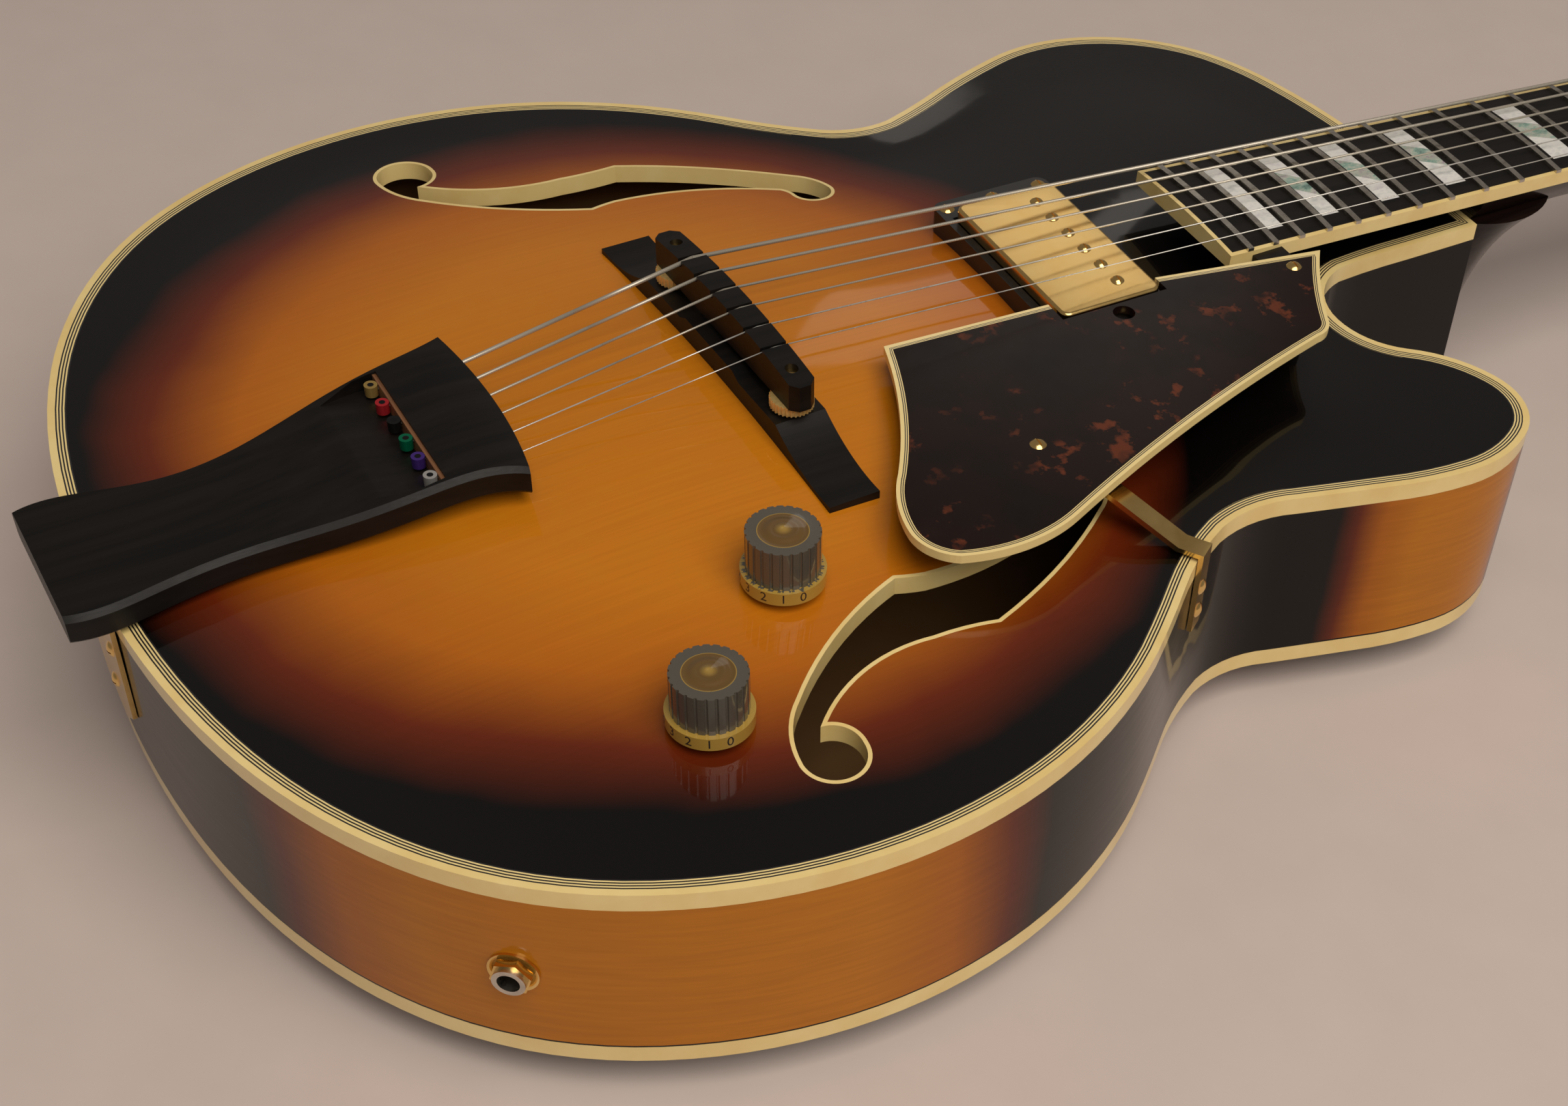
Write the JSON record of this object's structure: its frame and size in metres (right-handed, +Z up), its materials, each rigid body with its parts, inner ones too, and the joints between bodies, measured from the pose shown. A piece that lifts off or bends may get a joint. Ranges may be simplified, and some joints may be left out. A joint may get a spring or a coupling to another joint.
{
  "type": "archtop guitar",
  "caption": "Hollow single-cutaway archtop guitar with f-holes, floating guard, hinged tailpiece, movable bridge and tuners",
  "frame": {"origin": "under the middle of the whole guitar, on the surface that its back rests on", "axes": "+X to the treble side, +Y from tail to headstock, +Z up out of the top"},
  "size_m": [0.387, 1.0184, 0.1177],
  "materials": {
    "top_wood": "gloss sunburst lacquer over spruce",
    "back_wood": "gloss sunburst lacquer over maple",
    "dark_wood": "gloss dark lacquer over maple",
    "bare_wood": "bare inside wood",
    "ebony": "satin ebony",
    "brown_strip": "satin rosewood",
    "cream": "gloss cream binding",
    "tortoise": "gloss tortoiseshell plastic",
    "black_plastic": "satin black plastic",
    "knob": "gloss amber plastic",
    "pearl": "polished pearl",
    "abalone": "polished shell",
    "bone": "polished bone",
    "gold": "gold plated",
    "coloured_brass": "brass with coloured coats",
    "nickel": "nickel plated",
    "steel": "bright steel"
  },
  "bodies": {
    "guitar": {"top_plate": "top_wood", "back_plate": "back_wood", "rims": "back_wood", "linings": "bare_wood", "neck_block": "bare_wood", "tail_block": "bare_wood", "tone_bars": "bare_wood", "top_binding": "cream", "top_purfling": "cream", "back_binding": "cream", "f_hole_bindings": "cream", "neck": "dark_wood", "truss_rod": "steel", "truss_rod_cover": "black_plastic", "headstock_overlay": "ebony", "fretboard": "ebony", "fretboard_binding": "cream", "frets": "nickel", "inlays_pearl": "pearl", "inlays_abalone": "abalone", "nut": "bone", "tuner_housings": "gold", "strings": "steel", "bridge_base": "ebony", "bridge_posts": "gold", "tail_plate": "gold", "pickup_ring": "black_plastic", "pickup_cover": "gold", "pickup_core": "black_plastic", "pickguard": "tortoise", "pickguard_binding": "cream", "guard_bracket": "gold", "guard_block": "ebony", "pots": "nickel", "jack_socket": "nickel", "jack_nut": "nickel", "small_screws": "gold"},
    "volume": {"volume_knob": "knob", "volume_shaft": "nickel"},
    "tone": {"tone_knob": "knob", "tone_shaft": "nickel"},
    "saddle": {"bridge_saddle": "ebony"},
    "wheel_bass": {"thumbwheel_bass": "gold"},
    "wheel_treble": {"thumbwheel_treble": "gold"},
    "tail": {"tailpiece": "ebony", "tailpiece_strip": "brown_strip", "ball_ends": "coloured_brass", "hinge_leaf": "gold"},
    "button_1": {"tuner_button_1": "gold"},
    "post_1": {"tuner_post_1": "gold"},
    "button_2": {"tuner_button_2": "gold"},
    "post_2": {"tuner_post_2": "gold"},
    "button_3": {"tuner_button_3": "gold"},
    "post_3": {"tuner_post_3": "gold"},
    "button_4": {"tuner_button_4": "gold"},
    "post_4": {"tuner_post_4": "gold"},
    "button_5": {"tuner_button_5": "gold"},
    "post_5": {"tuner_post_5": "gold"},
    "button_6": {"tuner_button_6": "gold"},
    "post_6": {"tuner_post_6": "gold"}
  },
  "joints": [
    {"name": "tuner_button_1_turn", "type": "hinge", "parent": "guitar", "child": "button_1", "pos_m": [0.038, 0.37497, 0.04193], "axis": [1, 0, 0], "continuous": true},
    {"name": "tuner_post_1_turn", "type": "hinge", "parent": "guitar", "child": "post_1", "pos_m": [0.0195, 0.37483, 0.06209], "axis": [0, 0.2907, 0.9568], "continuous": true},
    {"name": "tuner_button_2_turn", "type": "hinge", "parent": "guitar", "child": "button_2", "pos_m": [0.038, 0.41516, 0.02972], "axis": [1, 0, 0], "continuous": true},
    {"name": "tuner_post_2_turn", "type": "hinge", "parent": "guitar", "child": "post_2", "pos_m": [0.0207, 0.41501, 0.04988], "axis": [0, 0.2907, 0.9568], "continuous": true},
    {"name": "tuner_button_3_turn", "type": "hinge", "parent": "guitar", "child": "button_3", "pos_m": [0.038, 0.45534, 0.01751], "axis": [1, 0, 0], "continuous": true},
    {"name": "tuner_post_3_turn", "type": "hinge", "parent": "guitar", "child": "post_3", "pos_m": [0.0219, 0.4552, 0.03767], "axis": [0, 0.2907, 0.9568], "continuous": true},
    {"name": "tuner_button_4_turn", "type": "hinge", "parent": "guitar", "child": "button_4", "pos_m": [-0.038, 0.45534, 0.01751], "axis": [-1, 0, 0], "continuous": true},
    {"name": "tuner_post_4_turn", "type": "hinge", "parent": "guitar", "child": "post_4", "pos_m": [-0.0219, 0.4552, 0.03767], "axis": [0, 0.2907, 0.9568], "continuous": true},
    {"name": "tuner_button_5_turn", "type": "hinge", "parent": "guitar", "child": "button_5", "pos_m": [-0.038, 0.41516, 0.02972], "axis": [-1, 0, 0], "continuous": true},
    {"name": "tuner_post_5_turn", "type": "hinge", "parent": "guitar", "child": "post_5", "pos_m": [-0.0207, 0.41501, 0.04988], "axis": [0, 0.2907, 0.9568], "continuous": true},
    {"name": "tuner_button_6_turn", "type": "hinge", "parent": "guitar", "child": "button_6", "pos_m": [-0.038, 0.37497, 0.04193], "axis": [-1, 0, 0], "continuous": true},
    {"name": "tuner_post_6_turn", "type": "hinge", "parent": "guitar", "child": "post_6", "pos_m": [-0.0195, 0.37483, 0.06209], "axis": [0, 0.2907, 0.9568], "continuous": true},
    {"name": "volume_turn", "type": "hinge", "parent": "guitar", "child": "volume", "pos_m": [0.0945, -0.32875, 0.08292], "axis": [0, 0, 1], "range_deg": [0, 300]},
    {"name": "tone_turn", "type": "hinge", "parent": "guitar", "child": "tone", "pos_m": [0.1325, -0.37025, 0.08292], "axis": [0, 0, 1], "range_deg": [0, 300]},
    {"name": "bridge_height", "type": "slide", "parent": "guitar", "child": "saddle", "axis": [0, 0, 1], "range_m": [-0.0008, 0.0035], "deforming": ["strings"]},
    {"name": "wheel_bass_turn", "type": "hinge", "parent": "saddle", "child": "wheel_bass", "pos_m": [-0.03668, -0.2984, 0.10272], "axis": [0, 0, 1], "range_deg": [-412, 1800]},
    {"name": "wheel_treble_turn", "type": "hinge", "parent": "saddle", "child": "wheel_treble", "pos_m": [0.03668, -0.29609, 0.10272], "axis": [0, 0, 1], "range_deg": [-412, 1800]},
    {"name": "tail_hinge", "type": "hinge", "parent": "guitar", "child": "tail", "pos_m": [0, -0.50385, 0.08097], "axis": [1, 0, 0], "range_deg": [0, 12], "deforming": ["strings"]}
  ],
  "couplings": [
    {"joint": "tuner_post_1_turn", "follows": "tuner_button_1_turn", "ratio": 0.071429},
    {"joint": "tuner_post_2_turn", "follows": "tuner_button_2_turn", "ratio": 0.071429},
    {"joint": "tuner_post_3_turn", "follows": "tuner_button_3_turn", "ratio": 0.071429},
    {"joint": "tuner_post_4_turn", "follows": "tuner_button_4_turn", "ratio": 0.071429},
    {"joint": "tuner_post_5_turn", "follows": "tuner_button_5_turn", "ratio": 0.071429},
    {"joint": "tuner_post_6_turn", "follows": "tuner_button_6_turn", "ratio": 0.071429},
    {"joint": "wheel_bass_turn", "follows": "bridge_height", "rad_per_m": 8976},
    {"joint": "wheel_treble_turn", "follows": "bridge_height", "rad_per_m": 8976}
  ]
}
